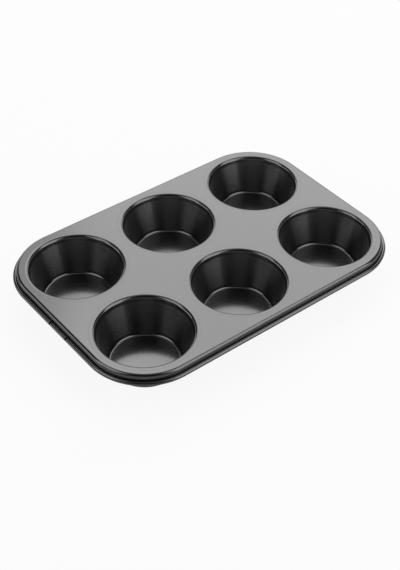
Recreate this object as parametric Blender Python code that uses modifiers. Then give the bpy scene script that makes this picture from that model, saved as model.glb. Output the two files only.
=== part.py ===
"""Muffin pan: a pressed sheet-steel tray, six drawn cups set into it, and a rim rolled round a wire.

Metres, +Z up. The cups stand on z = 0 and the origin is under the middle of the tray.
The long side of the tray runs along X, and the back row of cups is at +Y.
"""
import math

import bmesh
import bpy
from mathutils import Vector

MM = 0.001

# Cups: the grid they stand in
COLUMNS = ("left", "middle", "right")
ROWS = ("front", "back")

# Cups: the drawn shell, measured on its inner face
CUP_SHEET = 0.5 * MM
CUP_DEPTH = 29.4 * MM
MOUTH_RADIUS = 36.9 * MM      # where the flat flange starts to turn down
FLANGE_WIDTH = 1.6 * MM
FLOOR_RADIUS = 24.4 * MM      # flat part of the floor
FLOOR_FILLET = 2.2 * MM

# Tray: the pressed plate
TRAY_SHEET = 0.5 * MM
COLUMN_WEB = 6.4 * MM         # flat plate between the seats of neighbouring columns
ROW_WEB = 7.2 * MM            # the same, between the rows
END_WEB = 2.0 * MM            # flat plate between a seat and the bend at the short ends
SIDE_WEB = 2.6 * MM           # the same, along the long sides
COLLAR_BEND = 1.5 * MM        # inside radius where the plate turns down into a hole
COLLAR_LENGTH = 2.4 * MM      # straight part of the collar, beside the cup wall

# Tray: skirt and rolled rim
EDGE_BEND = 1.8 * MM          # inside radius where the plate turns down into the skirt
RIM_DEPTH = 6.3 * MM          # tray top to the middle of the rolled rim
WIRE_DIAMETER = 1.5 * MM
WIRE_JOINT = 0.6 * MM         # gap where the two ends of the wire meet

# Fits
SEAM_GAP = 0.3 * MM           # between a cup and its seat
ROLL_GAP = 0.3 * MM           # between the wire and the roll, and where the roll closes

# Facets
TURN_STEPS = 32
CORNER_STEPS = 8
EDGE_STEPS = 4
ROLL_STEPS = 10
COLLAR_STEPS = 2
MOUTH_STEPS = 3
FILLET_STEPS = 3
WIRE_STEPS_ALONG_SIDE = 4

# Sizes that follow from those above
TRAY_TOP = CUP_DEPTH + CUP_SHEET
SEAT_DEPTH = CUP_SHEET + SEAM_GAP
COLLAR_FACE = COLLAR_BEND + TRAY_SHEET
MOUTH_BEND = COLLAR_FACE + SEAM_GAP + CUP_SHEET
FLANGE_RADIUS = MOUTH_RADIUS + FLANGE_WIDTH
SEAT_RADIUS = FLANGE_RADIUS + SEAM_GAP
COLUMN_PITCH = 2 * SEAT_RADIUS + COLUMN_WEB
ROW_PITCH = 2 * SEAT_RADIUS + ROW_WEB
HALF_LENGTH = COLUMN_PITCH * (len(COLUMNS) - 1) / 2 + SEAT_RADIUS + END_WEB
HALF_WIDTH = ROW_PITCH * (len(ROWS) - 1) / 2 + SEAT_RADIUS + SIDE_WEB
CORNER_RADIUS = SEAT_RADIUS + min(END_WEB, SIDE_WEB)
ROLL_INNER = WIRE_DIAMETER / 2 + ROLL_GAP
ROLL_OUTER = ROLL_INNER + TRAY_SHEET
ROLL_OFFSET = EDGE_BEND + TRAY_SHEET + ROLL_INNER

COATING_GREY = (0.045, 0.047, 0.048, 1.0)
STEEL_GREY = (0.42, 0.41, 0.40, 1.0)


def clear_scene():
    for old in list(bpy.data.objects):
        bpy.data.objects.remove(old, do_unlink=True)


def make_collection(name):
    collection = bpy.data.collections.new(name)
    bpy.context.scene.collection.children.link(collection)
    return collection


def make_material(name, colour, roughness, metallic):
    material = bpy.data.materials.new(name)
    material.use_nodes = True
    shader = material.node_tree.nodes["Principled BSDF"]
    shader.inputs["Base Color"].default_value = colour
    shader.inputs["Roughness"].default_value = roughness
    shader.inputs["Metallic"].default_value = metallic
    material.diffuse_color = colour
    return material


def add_object(name, data, collection, parent, location=(0, 0, 0)):
    thing = bpy.data.objects.new(name, data)
    collection.objects.link(thing)
    thing.parent = parent
    thing.location = location
    return thing


def arc(centre, radius, start, end, steps):
    """Points of an arc in the (radius, height) plane, angles in radians from +radius."""
    points = []
    for i in range(steps + 1):
        angle = start + (end - start) * i / steps
        points.append((centre[0] + radius * math.cos(angle), centre[1] + radius * math.sin(angle)))
    return points


def wall_lean():
    """Angle of the cup wall from the vertical: the line that touches both the mouth bend and
    the floor fillet, whose centres lie on its two sides."""
    across = MOUTH_RADIUS - FLOOR_RADIUS
    down = CUP_DEPTH - MOUTH_BEND - FLOOR_FILLET
    return math.atan2(across, down) - math.asin((MOUTH_BEND + FLOOR_FILLET) / math.hypot(across, down))


def cup_profile():
    """Inner face of a cup from the flange edge down to the axis, heights from the tray top."""
    lean = wall_lean()
    mouth = arc((MOUTH_RADIUS, -MOUTH_BEND), MOUTH_BEND, math.pi / 2, math.pi - lean, MOUTH_STEPS)
    fillet = arc((FLOOR_RADIUS, FLOOR_FILLET - CUP_DEPTH), FLOOR_FILLET, -lean, -math.pi / 2, FILLET_STEPS)
    return [(FLANGE_RADIUS, 0.0)] + mouth + fillet + [(0.0, -CUP_DEPTH)]


def seat_profile():
    """Middle of the sheet round a hole: down the step, along the seat and down the collar."""
    lean = wall_lean()
    step_radius = SEAT_RADIUS + TRAY_SHEET / 2
    ledge = -SEAT_DEPTH - TRAY_SHEET / 2
    bend = arc((MOUTH_RADIUS, -MOUTH_BEND), COLLAR_BEND + TRAY_SHEET / 2,
               math.pi / 2, math.pi - lean, COLLAR_STEPS)
    low_end = (bend[-1][0] - COLLAR_LENGTH * math.sin(lean), bend[-1][1] - COLLAR_LENGTH * math.cos(lean))
    return [(step_radius, ledge)] + bend + [low_end]


def rim_profile():
    """Middle of the sheet from the edge bend down the skirt and round the wire.
    Offsets run outward from the edge of the flat plate."""
    bend = arc((0.0, -EDGE_BEND - TRAY_SHEET), EDGE_BEND + TRAY_SHEET / 2, math.pi / 2, 0.0, EDGE_STEPS)
    closing = math.acos((ROLL_INNER - ROLL_GAP) / ROLL_OUTER)
    roll = arc((ROLL_OFFSET, -RIM_DEPTH), ROLL_INNER + TRAY_SHEET / 2,
               math.pi, 3 * math.pi - closing, ROLL_STEPS)
    return bend[1:] + roll


def outline(offset):
    """Rounded rectangle of the plate, grown outward by an offset, as a closed run of points."""
    points = []
    radius = CORNER_RADIUS + offset
    for quarter in range(4):
        side_x = 1 if quarter in (0, 3) else -1
        side_y = 1 if quarter in (0, 1) else -1
        centre_x = side_x * (HALF_LENGTH - CORNER_RADIUS)
        centre_y = side_y * (HALF_WIDTH - CORNER_RADIUS)
        for i in range(CORNER_STEPS + 1):
            angle = (quarter + i / CORNER_STEPS) * math.pi / 2
            place = Vector((centre_x + radius * math.cos(angle), centre_y + radius * math.sin(angle), 0.0))
            points.append(place)
    return points


def outline_core(place):
    """Point that the outline's direction at a place runs from: the centre of the nearest corner,
    or beside a straight side the point straight inward on the line between two centres."""
    inner_x = HALF_LENGTH - CORNER_RADIUS
    inner_y = HALF_WIDTH - CORNER_RADIUS
    return Vector((max(-inner_x, min(inner_x, place.x)), max(-inner_y, min(inner_y, place.y)), 0.0))


def cup_places():
    """Name and centre of each cup, front row first."""
    for r, row in enumerate(ROWS):
        for c, column in enumerate(COLUMNS):
            x = (c - (len(COLUMNS) - 1) / 2) * COLUMN_PITCH
            y = (r - (len(ROWS) - 1) / 2) * ROW_PITCH
            yield f"cup_{row}_{column}", Vector((x, y, 0.0))


def add_poly_spline(curve, points):
    spline = curve.splines.new("POLY")
    spline.points.add(len(points) - 1)
    for spline_point, place in zip(spline.points, points):
        spline_point.co = (place.x, place.y, place.z, 1.0)
    return spline


def plate_mesh():
    """Flat plate with its round holes, as one open surface in the middle of the sheet."""
    curve = bpy.data.curves.new("plate_outline", "CURVE")
    curve.dimensions = "2D"
    curve.fill_mode = "BOTH"
    add_poly_spline(curve, outline(0.0)).use_cyclic_u = True
    hole_radius = SEAT_RADIUS + TRAY_SHEET / 2
    for _, centre in cup_places():
        ring = [centre + Vector((hole_radius * math.cos(a), hole_radius * math.sin(a), 0.0))
                for a in (2 * math.pi * i / TURN_STEPS for i in range(TURN_STEPS))]
        add_poly_spline(curve, ring).use_cyclic_u = True
    flat = bpy.data.objects.new("plate_outline", curve)
    bpy.context.scene.collection.objects.link(flat)
    bpy.context.view_layer.update()
    mesh = bpy.data.meshes.new_from_object(flat.evaluated_get(bpy.context.evaluated_depsgraph_get()))
    bpy.data.objects.remove(flat, do_unlink=True)
    return mesh


def draw_loop(bm, loop, cores, profile):
    """Extrude a loop of open edges once for each profile point. Each corner of the loop moves
    along the line from its core point, to the profile's radius and height."""
    for radius, height in profile:
        made = bmesh.ops.extrude_edge_only(bm, edges=loop)["geom"]
        corners = [item for item in made if isinstance(item, bmesh.types.BMVert)]
        loop = [item for item in made if isinstance(item, bmesh.types.BMEdge)]
        for corner in corners:
            core = cores(corner.co)
            flat = Vector((corner.co.x - core.x, corner.co.y - core.y, 0.0)).normalized()
            corner.co = Vector((core.x, core.y, height)) + flat * radius


def build_tray(collection, parent, material):
    mesh = plate_mesh()
    bm = bmesh.new()
    bm.from_mesh(mesh)
    bmesh.ops.remove_doubles(bm, verts=bm.verts, dist=0.01 * MM)
    for corner in bm.verts:
        corner.co.z = -TRAY_SHEET / 2
    if sum(face.normal.z for face in bm.faces) < 0:
        bmesh.ops.reverse_faces(bm, faces=bm.faces)

    open_edges = [edge for edge in bm.edges if edge.is_boundary]
    reach = SEAT_RADIUS + TRAY_SHEET
    for _, centre in cup_places():
        loop = [edge for edge in open_edges
                if all((Vector((v.co.x, v.co.y, 0.0)) - centre).length < reach for v in edge.verts)]
        open_edges = [edge for edge in open_edges if edge not in loop]
        draw_loop(bm, loop, lambda place, middle=centre: middle, seat_profile())

    skirt = [(CORNER_RADIUS + offset, height) for offset, height in rim_profile()]
    draw_loop(bm, open_edges, outline_core, skirt)
    bmesh.ops.recalc_face_normals(bm, faces=bm.faces)
    bm.to_mesh(mesh)
    bm.free()
    mesh.name = "tray_frame"
    mesh.materials.append(material)
    mesh.shade_smooth()
    mesh.set_sharp_from_angle(angle=math.radians(40))
    tray = add_object("tray_frame", mesh, collection, parent, (0, 0, TRAY_TOP))
    shell = tray.modifiers.new("sheet", "SOLIDIFY")
    shell.thickness = TRAY_SHEET
    shell.offset = 0.0
    shell.use_even_offset = True
    return tray


def build_cups(collection, parent, material):
    profile = bpy.data.meshes.new("cup")
    points = [(radius, 0.0, height) for radius, height in cup_profile()]
    profile.from_pydata(points, [(i, i + 1) for i in range(len(points) - 1)], [])
    profile.materials.append(material)
    for name, centre in cup_places():
        cup = add_object(name, profile, collection, parent, (centre.x, centre.y, TRAY_TOP))
        turn = cup.modifiers.new("turn", "SCREW")
        turn.steps = TURN_STEPS
        turn.render_steps = TURN_STEPS
        turn.use_merge_vertices = True
        turn.merge_threshold = 0.01 * MM
        shell = cup.modifiers.new("sheet", "SOLIDIFY")
        shell.thickness = CUP_SHEET
        shell.offset = 1.0
        shell.use_even_offset = True


def wire_route():
    """Middle of the wire, from one side of its butt joint round to the other. The joint is
    halfway along the left end of the tray."""
    ring = outline(ROLL_OFFSET)
    per_corner = CORNER_STEPS + 1
    joint_x = -HALF_LENGTH - ROLL_OFFSET
    start = Vector((joint_x, -WIRE_JOINT / 2, 0.0))
    end = Vector((joint_x, WIRE_JOINT / 2, 0.0))
    corners = ring[2 * per_corner:] + ring[:2 * per_corner]
    route = [start]
    for place in corners + [end]:
        run = place - route[-1]
        parts = WIRE_STEPS_ALONG_SIDE if run.length > CORNER_RADIUS / 2 else 1
        route += [route[-1] + run * (i + 1) / parts for i in range(parts)]
    return route


def build_wire(collection, parent, material):
    curve = bpy.data.curves.new("rim_wire", "CURVE")
    curve.dimensions = "3D"
    curve.bevel_depth = WIRE_DIAMETER / 2
    curve.bevel_resolution = 2
    curve.use_fill_caps = True
    add_poly_spline(curve, wire_route())
    curve.materials.append(material)
    add_object("rim_wire", curve, collection, parent, (0, 0, TRAY_TOP - RIM_DEPTH))


def main():
    clear_scene()
    pan = make_collection("muffin_pan")
    middle = add_object("muffin_pan", None, pan, None)
    build_tray(pan, middle, make_material("tray_coating", COATING_GREY, 0.34, 0.55))
    build_cups(pan, middle, make_material("cup_coating", COATING_GREY, 0.34, 0.55))
    build_wire(pan, middle, make_material("wire_steel", STEEL_GREY, 0.35, 1.0))


main()
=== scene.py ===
"""Muffin pan with a satin dark non-stick coating, on a pale studio floor."""
import math

import bmesh
import bpy
from mathutils import Matrix, Vector


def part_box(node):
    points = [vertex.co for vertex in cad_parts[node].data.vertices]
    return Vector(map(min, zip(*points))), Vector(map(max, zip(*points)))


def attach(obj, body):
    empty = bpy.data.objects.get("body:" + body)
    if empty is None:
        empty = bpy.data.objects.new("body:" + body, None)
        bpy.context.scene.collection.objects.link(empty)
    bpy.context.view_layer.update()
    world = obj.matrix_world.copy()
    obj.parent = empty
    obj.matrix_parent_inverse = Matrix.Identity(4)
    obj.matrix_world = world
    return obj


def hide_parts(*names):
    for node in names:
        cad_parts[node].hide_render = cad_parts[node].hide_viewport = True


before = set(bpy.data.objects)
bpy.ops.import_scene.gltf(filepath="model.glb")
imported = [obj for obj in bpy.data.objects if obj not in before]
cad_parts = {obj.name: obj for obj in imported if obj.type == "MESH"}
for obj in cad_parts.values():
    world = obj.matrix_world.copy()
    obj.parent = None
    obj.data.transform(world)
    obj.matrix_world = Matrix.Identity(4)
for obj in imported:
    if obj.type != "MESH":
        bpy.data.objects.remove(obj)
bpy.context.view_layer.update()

MM = 0.001
CUPS = sorted(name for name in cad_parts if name.startswith("cup_"))

# Sizes that the frame gives
CUP_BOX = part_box(CUPS[0])
TRAY_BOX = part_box("tray_frame")
TRAY_TOP = CUP_BOX[1].z
FLANGE_RADIUS = (CUP_BOX[1].x - CUP_BOX[0].x) / 2

# Sizes of the pressed shapes, as in the solids
CUP_SHEET = 0.5 * MM
CUP_DEPTH = TRAY_TOP - CUP_BOX[0].z - CUP_SHEET
MOUTH_RADIUS = 36.9 * MM
MOUTH_BEND = 2.8 * MM
FLOOR_RADIUS = 24.4 * MM
FLOOR_FILLET = 2.2 * MM
TRAY_SHEET = 0.5 * MM
EDGE_BEND = 2.3 * MM
RIM_DEPTH = 6.3 * MM
ROLL_INNER = 1.05 * MM
COLLAR_LENGTH = 2.4 * MM
END_WEB = 2.0 * MM
SOLID_SEAM = 0.3 * MM

# The finished seams close tighter than the solids do
SEAM = 0.015 * MM
SEAM_ROUND = 0.02 * MM

# Marks pressed across the roll on the left side, as far along it as the photo shows them
MARK_PLACES = (7.7 * MM, -12.2 * MM)
MARK_WIDTH = 1.5 * MM
MARK_DEPTH = 0.28 * MM
MARK_STEPS = 4

# Outline of the flat plate and of the seats in it, a hair inside the solids' box
EASE = 0.02 * MM
ROLL_OFFSET = EDGE_BEND + ROLL_INNER
RIM_REACH = ROLL_OFFSET + ROLL_INNER + TRAY_SHEET
HALF_LENGTH = TRAY_BOX[1].x - RIM_REACH - EASE
HALF_WIDTH = TRAY_BOX[1].y - RIM_REACH - EASE
CORNER_RADIUS = FLANGE_RADIUS + SOLID_SEAM + END_WEB
SEAT_RADIUS = FLANGE_RADIUS + SEAM

# Fineness of the meshes
TURN_STEPS = 128
SHARP_ANGLE = math.radians(50)
EDGE_RING = 0.05 * MM
SAME_PLACE = 0.001 * MM
ALMOST_ZERO = 1e-9

# Where straight runs get rings, as shares of the run
FLANGE_RINGS = (0.9, 0.1)
WALL_RINGS = (0.01, 0.2, 0.4, 0.6, 0.8, 0.99)
FLOOR_RINGS = (0.99, 0.75, 0.5, 0.25, 0.0)
SKIRT_RINGS = (0.03, 0.5, 0.97)
PLATE_RINGS = (0.2, 0.4, 0.6, 0.8)


def cup_centre(name):
    """Point on a cup's axis, at height 0."""
    low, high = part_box(name)
    return Vector(((low.x + high.x) / 2, (low.y + high.y) / 2, 0.0))


CENTRES = {name: cup_centre(name) for name in CUPS}
COLUMN_PITCH = (max(c.x for c in CENTRES.values()) - min(c.x for c in CENTRES.values())) / 2
ROW_PITCH = max(c.y for c in CENTRES.values()) - min(c.y for c in CENTRES.values())


# Profiles

def arc(centre, radius, start, end, steps):
    """Points of an arc in the (radius, height) plane, angles in radians from +radius."""
    points = []
    for i in range(steps + 1):
        angle = start + (end - start) * i / steps
        points.append((centre[0] + radius * math.cos(angle), centre[1] + radius * math.sin(angle)))
    return points


def wall_lean():
    """Angle of the cup wall from the vertical, tangent to the mouth bend and the floor fillet."""
    across = MOUTH_RADIUS - FLOOR_RADIUS
    down = CUP_DEPTH - MOUTH_BEND - FLOOR_FILLET
    return math.atan2(across, down) - math.asin((MOUTH_BEND + FLOOR_FILLET) / math.hypot(across, down))


def cup_profile():
    """Inner face of a cup from the flange edge down to the axis, heights from the tray top."""
    lean = wall_lean()
    rounded = FLANGE_RADIUS - SEAM_ROUND
    edge = arc((rounded, -SEAM_ROUND), SEAM_ROUND, 0.0, math.pi / 2, steps=3)
    flange = [(MOUTH_RADIUS + (rounded - MOUTH_RADIUS) * t, 0.0) for t in FLANGE_RINGS]
    mouth = arc((MOUTH_RADIUS, -MOUTH_BEND), MOUTH_BEND, math.pi / 2, math.pi - lean, steps=14)
    fillet = arc((FLOOR_RADIUS, FLOOR_FILLET - CUP_DEPTH), FLOOR_FILLET, -lean, -math.pi / 2, steps=12)
    top, foot = mouth[-1], fillet[0]
    wall = [(top[0] + (foot[0] - top[0]) * t, top[1] + (foot[1] - top[1]) * t) for t in WALL_RINGS]
    floor = [(FLOOR_RADIUS * t, -CUP_DEPTH) for t in FLOOR_RINGS]
    return edge + flange + mouth + wall + fillet + floor


def seat_profile():
    """Upper face of the tray sheet round a hole: over the step, along the seat, down the collar."""
    lean = wall_lean()
    ledge = -CUP_SHEET - SEAM
    step = arc((SEAT_RADIUS + SEAM_ROUND, -SEAM_ROUND), SEAM_ROUND, math.pi / 2, math.pi, steps=3)
    bend = arc((MOUTH_RADIUS, -MOUTH_BEND), MOUTH_BEND + ledge, math.pi / 2, math.pi - lean, steps=8)
    low = (bend[-1][0] - COLLAR_LENGTH * math.sin(lean), bend[-1][1] - COLLAR_LENGTH * math.cos(lean))
    return step[1:] + [(SEAT_RADIUS, ledge)] + bend + [low]


def rim_profile():
    """Upper face of the tray sheet from the edge bend down the skirt and round inside the roll,
    as (offset outward from the flat plate, height)."""
    bend = arc((0.0, -EDGE_BEND), EDGE_BEND, math.pi / 2, 0.0, steps=12)
    skirt = [(EDGE_BEND, -EDGE_BEND - (RIM_DEPTH - EDGE_BEND) * t) for t in SKIRT_RINGS]
    closing = math.acos((ROLL_INNER - SEAM) / (ROLL_INNER + TRAY_SHEET))
    roll = arc((ROLL_OFFSET, -RIM_DEPTH), ROLL_INNER, math.pi, 3 * math.pi - closing, steps=28)
    return bend[1:] + skirt + roll


# Plate

def reach_to(wall, start, step):
    """Distance along a direction to a straight wall, without end where the two run side by side."""
    return (wall - start) / step if abs(step) > ALMOST_ZERO else math.inf


def outline_reach(start, aim):
    """Distance from a point inside the plate to its outline, along a direction."""
    reach = min(reach_to(math.copysign(HALF_LENGTH, aim.x), start.x, aim.x),
                reach_to(math.copysign(HALF_WIDTH, aim.y), start.y, aim.y))
    hit = start + aim * reach
    core = Vector((math.copysign(HALF_LENGTH - CORNER_RADIUS, hit.x),
                   math.copysign(HALF_WIDTH - CORNER_RADIUS, hit.y), 0.0))
    if abs(hit.x) > abs(core.x) and abs(hit.y) > abs(core.y):
        away = start - core
        along = away.dot(aim)
        reach = -along + math.sqrt(along * along - away.dot(away) + CORNER_RADIUS ** 2)
    return reach


def outline_core(place):
    """Nearest point to a place in the rectangle between the centres of the plate's round corners."""
    inner_x = HALF_LENGTH - CORNER_RADIUS
    inner_y = HALF_WIDTH - CORNER_RADIUS
    return Vector((max(-inner_x, min(inner_x, place.x)), max(-inner_y, min(inner_y, place.y)), 0.0))


def cell_limits(centre):
    """Lowest and highest corner of the stretch of plate that belongs to one cup, from its axis."""
    low_x = -COLUMN_PITCH / 2 if centre.x > -COLUMN_PITCH / 2 else -HALF_LENGTH - centre.x
    high_x = COLUMN_PITCH / 2 if centre.x < COLUMN_PITCH / 2 else HALF_LENGTH - centre.x
    low_y = -ROW_PITCH / 2 if centre.y > 0 else -HALF_WIDTH - centre.y
    high_y = ROW_PITCH / 2 if centre.y < 0 else HALF_WIDTH - centre.y
    return low_x, high_x, low_y, high_y


def cell_rays(centre):
    """Directions round a cup and the plate's reach along each, with one at each cell corner."""
    low_x, high_x, low_y, high_y = cell_limits(centre)
    corners = [math.atan2(low_y, low_x), math.atan2(low_y, high_x),
               math.atan2(high_y, high_x), math.atan2(high_y, low_x)]
    corners.append(corners[0] + 2 * math.pi)
    per_side = TURN_STEPS // 4
    for side in range(4):
        for i in range(per_side):
            angle = corners[side] + (corners[side + 1] - corners[side]) * i / per_side
            aim = Vector((math.cos(angle), math.sin(angle), 0.0))
            yield aim, min(outline_reach(centre, aim),
                           reach_to(high_x if aim.x > 0 else low_x, 0.0, aim.x),
                           reach_to(high_y if aim.y > 0 else low_y, 0.0, aim.y))


def plate_grid(bm):
    """Flat plate: a fan of quads round each cup, from its seat out to the cell's edge."""
    start = SEAT_RADIUS + SEAM_ROUND
    for centre in CENTRES.values():
        rings = []
        for aim, reach in cell_rays(centre):
            run = reach - start
            steps = [0.0, EDGE_RING] + [run * t for t in PLATE_RINGS] + [run - EDGE_RING, run]
            places = [centre + aim * (start + away) for away in steps]
            rings.append([bm.verts.new((place.x, place.y, 0.0)) for place in places])
        for here, there in zip(rings, rings[1:] + rings[:1]):
            for k in range(len(here) - 1):
                bm.faces.new((here[k], here[k + 1], there[k + 1], there[k]))
    bmesh.ops.remove_doubles(bm, verts=bm.verts, dist=SAME_PLACE)


def draw_loop(bm, loop, core_of, profile):
    """Draw a row of faces from a loop of open edges for each profile point. Each corner of the loop
    moves along the line from its core point, to the profile's radius and height."""
    for radius, height in profile:
        moved = {}
        for corner in dict.fromkeys(v for edge in loop for v in edge.verts):
            core = core_of(corner.co)
            flat = Vector((corner.co.x - core.x, corner.co.y - core.y, 0.0)).normalized()
            moved[corner] = bm.verts.new(Vector((core.x, core.y, height)) + flat * radius)
        row = []
        for edge in loop:
            start = edge.link_loops[0].vert
            end = edge.other_vert(start)
            face = bm.faces.new((end, start, moved[start], moved[end]))
            row.append(face.edges[2])
        loop = row


def draw_seats(bm, open_edges):
    """Draw a seat and collar at each hole. Returns the open edges that are left, the outline's."""
    near = SEAT_RADIUS + 2 * SEAM_ROUND
    for centre in CENTRES.values():
        loop = [edge for edge in open_edges
                if all((Vector((v.co.x, v.co.y, 0.0)) - centre).length < near for v in edge.verts)]
        held = set(loop)
        open_edges = [edge for edge in open_edges if edge not in held]
        draw_loop(bm, loop, lambda place, middle=centre: middle, seat_profile())
    return open_edges


def press_marks(bm):
    """Press the marks into the roll on the left side, less and less towards the skirt."""
    half = MARK_WIDTH / 2
    for middle in MARK_PLACES:
        for step in range(-MARK_STEPS, MARK_STEPS + 1):
            cut = middle + half * step / MARK_STEPS
            strip = [face for face in bm.faces
                     if all(v.co.x < -HALF_LENGTH - EDGE_BEND / 2 for v in face.verts)
                     and min(v.co.y for v in face.verts) < cut < max(v.co.y for v in face.verts)]
            # The strip's edges and corners, each of them once
            edges = dict.fromkeys(edge for face in strip for edge in face.edges)
            corners = dict.fromkeys(v for face in strip for v in face.verts)
            bmesh.ops.bisect_plane(bm, geom=[*strip, *edges, *corners], dist=SAME_PLACE / 10,
                                   plane_co=(0, cut, 0), plane_no=(0, 1, 0))
    for corner in bm.verts:
        out = -corner.co.x - HALF_LENGTH - ROLL_OFFSET
        down = corner.co.z + RIM_DEPTH
        on_roll = abs(math.hypot(out, down) - ROLL_INNER) < 10 * SAME_PLACE
        away = min(abs(corner.co.y - middle) for middle in MARK_PLACES) / half
        if on_roll and away < 1.0:
            past_skirt = min(1.0, 1.0 + out / ROLL_INNER)
            push = MARK_DEPTH * past_skirt * math.cos(math.pi / 2 * away) ** 2 / ROLL_INNER
            corner.co.x += out * push
            corner.co.z -= down * push


# Pieces

def add_piece(name, mesh, material, slot, *nodes):
    """Piece of the scene that replaces nodes of the frame."""
    mesh.materials.append(material)
    piece = bpy.data.objects.new(name, mesh)
    bpy.context.scene.collection.objects.link(piece)
    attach(piece, "root")
    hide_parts(*nodes)
    return piece


def add_sheet(piece, thickness, offset):
    """Give a drawn face its sheet thickness, on the side that the offset names."""
    shell = piece.modifiers.new("sheet", "SOLIDIFY")
    shell.thickness = thickness
    shell.offset = offset
    shell.use_even_offset = True


def build_tray(material):
    """Plate, seats, rim and roll as one drawn face with a thickness."""
    bm = bmesh.new()
    plate_grid(bm)
    outline = draw_seats(bm, [edge for edge in bm.edges if edge.is_boundary])
    draw_loop(bm, outline, outline_core,
              [(CORNER_RADIUS + offset, height) for offset, height in rim_profile()])
    press_marks(bm)
    bmesh.ops.recalc_face_normals(bm, faces=bm.faces)
    plate_up = sum(face.normal.z for face in bm.faces if face.calc_center_median().z > -SAME_PLACE)
    if plate_up < 0:
        bmesh.ops.reverse_faces(bm, faces=bm.faces)
    for corner in bm.verts:
        corner.co.z += TRAY_TOP
    mesh = bpy.data.meshes.new("tray_sheet")
    bm.to_mesh(mesh)
    bm.free()
    mesh.shade_smooth()
    mesh.set_sharp_from_angle(angle=SHARP_ANGLE)
    tray = add_piece("tray_sheet", mesh, material, "tray_coating", "tray_frame")
    add_sheet(tray, TRAY_SHEET, -1.0)


def build_cup(name, material):
    """Cup turned from its inner profile, with a thickness."""
    centre = CENTRES[name]
    mesh = bpy.data.meshes.new(name + "_shell")
    points = [(radius, 0.0, height) for radius, height in cup_profile()]
    mesh.from_pydata(points, [(i, i + 1) for i in range(len(points) - 1)], [])
    cup = add_piece(name + "_shell", mesh, material, "cup_coating", name)
    cup.location = (centre.x, centre.y, TRAY_TOP)
    turn = cup.modifiers.new("turn", "SCREW")
    turn.steps = TURN_STEPS
    turn.render_steps = TURN_STEPS
    turn.use_merge_vertices = True
    turn.merge_threshold = SAME_PLACE
    turn.use_smooth_shade = True
    add_sheet(cup, CUP_SHEET, 1.0)


# Materials

BLACK = (0.0, 0.0, 0.0, 1.0)
WHITE = (1.0, 1.0, 1.0, 1.0)

# Coating, with a mottle in its colour and gloss and the same mottle as a faint orange peel
COATING_IOR = 1.75
COATING_TONE = (0.005, 0.0053, 0.0056)
COATING_SPREAD = 0.25
COATING_ROUGHNESS = (0.13, 0.18)
MOTTLE_SCALE = 900.0
MOTTLE_DETAIL = 3.0
PEEL_STRENGTH = 0.06
PEEL_HEIGHT = 0.02 * MM

# Rim marks, against the shader's own specular level
MARK_ROUGHNESS = 0.75
PLAIN_SPECULAR = 0.5

# Cup wall, whose finish fades in and out at these shares of the cup's depth, and cup floor below it
WALL_FADE = (0.05, 0.16, 0.90, 0.97)
# The wall's lighter grey is painted light for the soft glow on the cup walls; its streaks follow the
# wall's own drawn rings
WALL_GLOW_TONE = (0.009, 0.0093, 0.0096)
WALL_SPREAD = 0.2
WALL_ROUGHNESS = (0.20, 0.28)
WALL_STRETCH = 1.0
RING_SCALE = 1300.0
RING_DETAIL = 2.0
RING_MAPPING = (0.015, 0.015, 1.0)
FLOOR_FROM = 0.97
FLOOR_ROUGHNESS = (0.12, 0.18)

# Wire
WIRE_DARK = (0.30, 0.29, 0.28, 1.0)
WIRE_LIGHT = (0.50, 0.49, 0.47, 1.0)
WIRE_ROUGHNESS = (0.28, 0.42)
WIRE_MOTTLE_SCALE = 1500.0
WIRE_MOTTLE_DETAIL = 2.0


class Tree:
    """Node tree of a material or world, with short ways to add to it."""

    def __init__(self, node_tree):
        self.nodes = node_tree.nodes
        self.links = node_tree.links

    def feed(self, value, socket):
        """Link a socket to another one, or set it to a number or colour."""
        if isinstance(value, bpy.types.NodeSocket):
            self.links.new(value, socket)
        else:
            socket.default_value = value

    def add(self, kind, inputs=None, **settings):
        """Node of a kind, with its settings, and its inputs linked or set by name."""
        node = self.nodes.new("ShaderNode" + kind)
        for name, value in settings.items():
            setattr(node, name, value)
        for name, value in (inputs or {}).items():
            self.feed(value, node.inputs[name])
        return node

    def math(self, operation, first, second=0.0):
        """Result of an operation on two sockets or numbers."""
        node = self.add("Math", operation=operation)
        self.feed(first, node.inputs[0])
        self.feed(second, node.inputs[1])
        return node.outputs[0]

    def noise(self, place, scale, detail):
        """Noise over a place on the surface, mostly from 0.3 to 0.7."""
        return self.add("TexNoise", {"Vector": place, "Scale": scale, "Detail": detail}).outputs["Fac"]

    def between(self, low, high, share):
        """Value that runs from low to high with a share that runs from 0 to 1."""
        return self.add("MapRange", {"Value": share, "To Min": low, "To Max": high}).outputs["Result"]

    def blend(self, share, first, second, kind="FLOAT"):
        """Mix of two sockets or values by the share of the second."""
        mix = self.add("Mix", {"Factor": share, "A": first, "B": second}, data_type=kind)
        return mix.outputs["Result"]

    def ramp(self, share, stops):
        """Colour along a share, from a list of stops, each a position and a colour."""
        node = self.add("ValToRGB", {"Fac": share})
        elements = node.color_ramp.elements
        for element, (position, colour) in zip(list(elements), (stops[0], stops[-1])):
            element.position = position
            element.color = colour
        for position, colour in stops[1:-1]:
            elements.new(position).color = colour
        return node.outputs["Color"]


def new_material(name):
    """New material, its tree and its shader."""
    material = bpy.data.materials.new(name)
    material.use_nodes = True
    tree = Tree(material.node_tree)
    return material, tree, tree.nodes["Principled BSDF"]


def around(tone, spread):
    """Ramp stops from darker to lighter than a tone, over the middle of a noise's range."""
    return [(0.3, [channel * (1 - spread) for channel in tone] + [1.0]),
            (0.7, [channel * (1 + spread) for channel in tone] + [1.0])]


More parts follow.
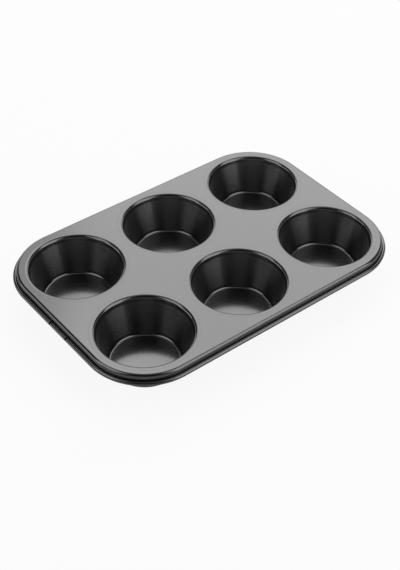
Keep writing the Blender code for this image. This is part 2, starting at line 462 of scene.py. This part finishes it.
def coating_material(name):
    """Dark satin non-stick coating: near-black body, fine mottle and a faint orange peel. Returns
    the material, its tree and shader, and the sockets that its variants build on."""
    material, tree, shader = new_material(name)
    place = tree.add("TexCoord").outputs["Object"]
    mottle = tree.noise(place, MOTTLE_SCALE, MOTTLE_DETAIL)
    colour = tree.ramp(mottle, around(COATING_TONE, COATING_SPREAD))
    rough = tree.between(*COATING_ROUGHNESS, mottle)
    peel = tree.add("Bump", {"Height": mottle, "Strength": PEEL_STRENGTH, "Distance": PEEL_HEIGHT})
    shader.inputs["IOR"].default_value = COATING_IOR
    tree.feed(colour, shader.inputs["Base Color"])
    tree.feed(rough, shader.inputs["Roughness"])
    tree.feed(peel.outputs["Normal"], shader.inputs["Normal"])
    return material, tree, shader, {"place": place, "mottle": mottle, "colour": colour, "rough": rough}


def tray_material(name):
    """The same coating on the tray, matt and without gloss where the rim is marked."""
    material, tree, shader, base = coating_material(name)
    place = tree.add("SeparateXYZ", {"Vector": base["place"]}).outputs
    marked = []
    for middle in MARK_PLACES:
        away = tree.math("ABSOLUTE", tree.math("SUBTRACT", place["Y"], middle))
        marked.append(tree.math("LESS_THAN", away, MARK_WIDTH / 2))
    on_roll = tree.math("LESS_THAN", place["X"], -HALF_LENGTH - EDGE_BEND - ROLL_INNER / 2)
    mark = tree.math("MULTIPLY", tree.math("MAXIMUM", *marked), on_roll)
    tree.feed(tree.between(PLAIN_SPECULAR, 0.0, mark), shader.inputs["Specular IOR Level"])
    tree.feed(tree.blend(mark, base["rough"], MARK_ROUGHNESS), shader.inputs["Roughness"])
    return material


def cup_material(name):
    """The same coating on a drawn cup: the stretched wall is duller, and a lighter grey paints the
    glow of light on it; its fine rings streak that grey and spread the light up and down the wall. The
    floor keeps a finish of its own."""
    material, tree, shader, base = coating_material(name)
    place = tree.add("SeparateXYZ", {"Vector": base["place"]}).outputs
    depth = tree.add("MapRange", {"Value": place["Z"], "From Min": 0.0, "From Max": -CUP_DEPTH})
    on_wall = tree.ramp(depth.outputs["Result"], list(zip(WALL_FADE, (BLACK, WHITE, WHITE, BLACK))))
    on_floor = tree.math("GREATER_THAN", depth.outputs["Result"], FLOOR_FROM)
    stretched = tree.add("Mapping", {"Vector": base["place"], "Scale": RING_MAPPING}).outputs["Vector"]
    rings = tree.noise(stretched, RING_SCALE, RING_DETAIL)
    # Lighter grey over the wall, painted light for its glow, streaked by the rings
    wall_glow_and_rings = tree.ramp(rings, around(WALL_GLOW_TONE, WALL_SPREAD))
    tree.feed(tree.blend(on_wall, base["colour"], wall_glow_and_rings, "RGBA"), shader.inputs["Base Color"])
    off_wall = tree.blend(on_floor, base["rough"], tree.between(*FLOOR_ROUGHNESS, base["mottle"]))
    rough = tree.blend(on_wall, off_wall, tree.between(*WALL_ROUGHNESS, rings))
    tree.feed(rough, shader.inputs["Roughness"])
    tree.feed(tree.between(0.0, WALL_STRETCH, on_wall), shader.inputs["Anisotropic"])
    up_wall = tree.add("CombineXYZ", {"X": place["X"], "Y": place["Y"], "Z": CUP_DEPTH})
    tree.feed(up_wall.outputs["Vector"], shader.inputs["Tangent"])
    return material


def wire_material():
    """Plain drawn steel wire, a little uneven in colour and gloss."""
    material, tree, shader = new_material("wire_steel_drawn")
    place = tree.add("TexCoord").outputs["Object"]
    mottle = tree.noise(place, WIRE_MOTTLE_SCALE, WIRE_MOTTLE_DETAIL)
    shader.inputs["Metallic"].default_value = 1.0
    tree.feed(tree.ramp(mottle, [(0.0, WIRE_DARK), (1.0, WIRE_LIGHT)]), shader.inputs["Base Color"])
    tree.feed(tree.between(*WIRE_ROUGHNESS, mottle), shader.inputs["Roughness"])
    return material


# Stage

FLOOR_SIZE = 12.0
FLOOR_COLOUR = (0.58, 0.58, 0.58, 1.0)
FLOOR_OWN_LIGHT = 0.91
FLOOR_OWN_REFLECTED = 0.1

# World: full brightness up to one elevation in degrees, and dark from the other one up
HORIZON_FULL = 12.0
HORIZON_TOP = 26.0
HORIZON_LEVEL = 0.65
CEILING = (0.02, 0.02, 0.02, 1.0)

# Camera, as fitted to the photograph. The sensor spans the frame's height, its longer side.
CAMERA_AZIMUTH = math.radians(-38.762)
CAMERA_ELEVATION = math.radians(41.672)
CAMERA_ROLL = math.radians(0.874)
CAMERA_DISTANCE = 809.27 * MM
CAMERA_TARGET = Vector((-25.25 * MM, -29.06 * MM, TRAY_TOP))
FOCAL_PIXELS = 1130.9
FRAME_HEIGHT = 570
SENSOR = 36.0
FAR_CLIP = 50.0

# Lamps: azimuth from the camera's (90 is to its right) and elevation in degrees, width and height
# in metres, and radiance
LAMP_DISTANCE = 1.2
LAMPS = {
    "main_panel": (174, 46, 1.3, 0.95, 2.25),
    "main_core": (172, 43, 0.75, 0.6, 1.3),
    "overhead": (150, 76, 1.5, 1.0, 0.6),
    "right_box": (67, 40, 0.9, 1.0, 2.9),
    "right_low": (67, 14, 1.0, 0.5, 1.6),
    "back_low": (178, 14, 2.2, 0.4, 1.3),
    "left_box": (-64, 41, 0.75, 0.9, 2.6),
    "left_low": (-88, 14, 0.8, 0.5, 1.7),
}


def floor_material():
    """Pale floor. Part of its white is its own, to the camera and, less of it, in reflections."""
    material, tree, shader = new_material("floor_white")
    tree.nodes.remove(shader)
    rays = tree.add("LightPath").outputs
    seen = tree.math("MAXIMUM", rays["Is Camera Ray"], rays["Is Glossy Ray"])
    seen = tree.math("MAXIMUM", seen, rays["Is Transmission Ray"])
    share = tree.between(FLOOR_OWN_REFLECTED, FLOOR_OWN_LIGHT, rays["Is Camera Ray"])
    mix = tree.add("MixShader", {"Fac": tree.math("MULTIPLY", seen, share)})
    tree.feed(tree.add("BsdfDiffuse", {"Color": FLOOR_COLOUR}).outputs["BSDF"], mix.inputs[1])
    tree.feed(tree.add("Emission").outputs["Emission"], mix.inputs[2])
    tree.feed(mix.outputs["Shader"], tree.nodes["Material Output"].inputs["Surface"])
    return material


def build_floor():
    """Flat floor under the pan, part of the stage."""
    mesh = bpy.data.meshes.new("floor")
    half = FLOOR_SIZE / 2
    corners = [(-half, -half, 0), (half, -half, 0), (half, half, 0), (-half, half, 0)]
    mesh.from_pydata(corners, [], [(0, 1, 2, 3)])
    mesh.materials.append(floor_material())
    floor = bpy.data.objects.new("floor", mesh)
    bpy.context.scene.collection.objects.link(floor)


def direction(azimuth, elevation):
    """Unit vector from the pan towards something at an azimuth, measured like the camera's."""
    return Vector((math.sin(azimuth) * math.cos(elevation), -math.cos(azimuth) * math.cos(elevation),
                   math.sin(elevation)))


def build_camera():
    """Camera at the photograph's angle, turned a little about its own axis."""
    data = bpy.data.cameras.new("camera")
    data.sensor_width = SENSOR
    data.lens = FOCAL_PIXELS * SENSOR / FRAME_HEIGHT
    data.clip_end = FAR_CLIP
    camera = bpy.data.objects.new("camera", data)
    bpy.context.scene.collection.objects.link(camera)
    back = direction(CAMERA_AZIMUTH, CAMERA_ELEVATION)
    right = Vector((0, 0, 1)).cross(back).normalized()
    up = back.cross(right)
    turned_right = right * math.cos(CAMERA_ROLL) + up * math.sin(CAMERA_ROLL)
    turned_up = up * math.cos(CAMERA_ROLL) - right * math.sin(CAMERA_ROLL)
    place = Matrix((turned_right, turned_up, back)).transposed().to_4x4()
    place.translation = CAMERA_TARGET + back * CAMERA_DISTANCE
    camera.matrix_world = place
    bpy.context.scene.camera = camera


def add_softbox(name, azimuth, elevation, width, height, radiance):
    """Rectangular lamp that faces the pan. Its power follows from its radiance and area."""
    data = bpy.data.lights.new(name, "AREA")
    data.shape = "RECTANGLE"
    data.size = width
    data.size_y = height
    data.energy = radiance * math.pi * width * height
    lamp = bpy.data.objects.new(name, data)
    bpy.context.scene.collection.objects.link(lamp)
    towards = direction(CAMERA_AZIMUTH + math.radians(azimuth), math.radians(elevation))
    lamp.location = Vector((0, 0, TRAY_TOP)) + towards * LAMP_DISTANCE
    lamp.rotation_euler = towards.to_track_quat("Z", "Y").to_euler()
    lamp.visible_camera = False


def build_world():
    """Studio walls: bright near the horizon and dark overhead, white to the camera."""
    world = bpy.data.worlds.new("studio")
    world.use_nodes = True
    bpy.context.scene.world = world
    tree = Tree(world.node_tree)
    background = tree.nodes["Background"]
    place = tree.add("TexCoord").outputs["Generated"]
    height = tree.add("SeparateXYZ", {"Vector": place}).outputs["Z"]
    full, top = math.sin(math.radians(HORIZON_FULL)), math.sin(math.radians(HORIZON_TOP))
    walls = tree.ramp(height, [(0.0, WHITE), (full, WHITE), (top, CEILING)])
    to_camera = tree.add("LightPath").outputs["Is Camera Ray"]
    tree.feed(tree.blend(to_camera, walls, WHITE, "RGBA"), background.inputs["Color"])
    tree.feed(tree.between(HORIZON_LEVEL, 1.0, to_camera), background.inputs["Strength"])


build_tray(tray_material("nonstick_tray"))
cup_coating = cup_material("nonstick_cup")
for cup_name in CUPS:
    build_cup(cup_name, cup_coating)
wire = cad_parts["rim_wire"]
wire.data.materials.clear()
wire.data.materials.append(wire_material())
build_floor()
build_camera()
build_world()
for lamp_name, lamp_values in LAMPS.items():
    add_softbox(lamp_name, *lamp_values)
bpy.context.scene.view_settings.view_transform = "Standard"
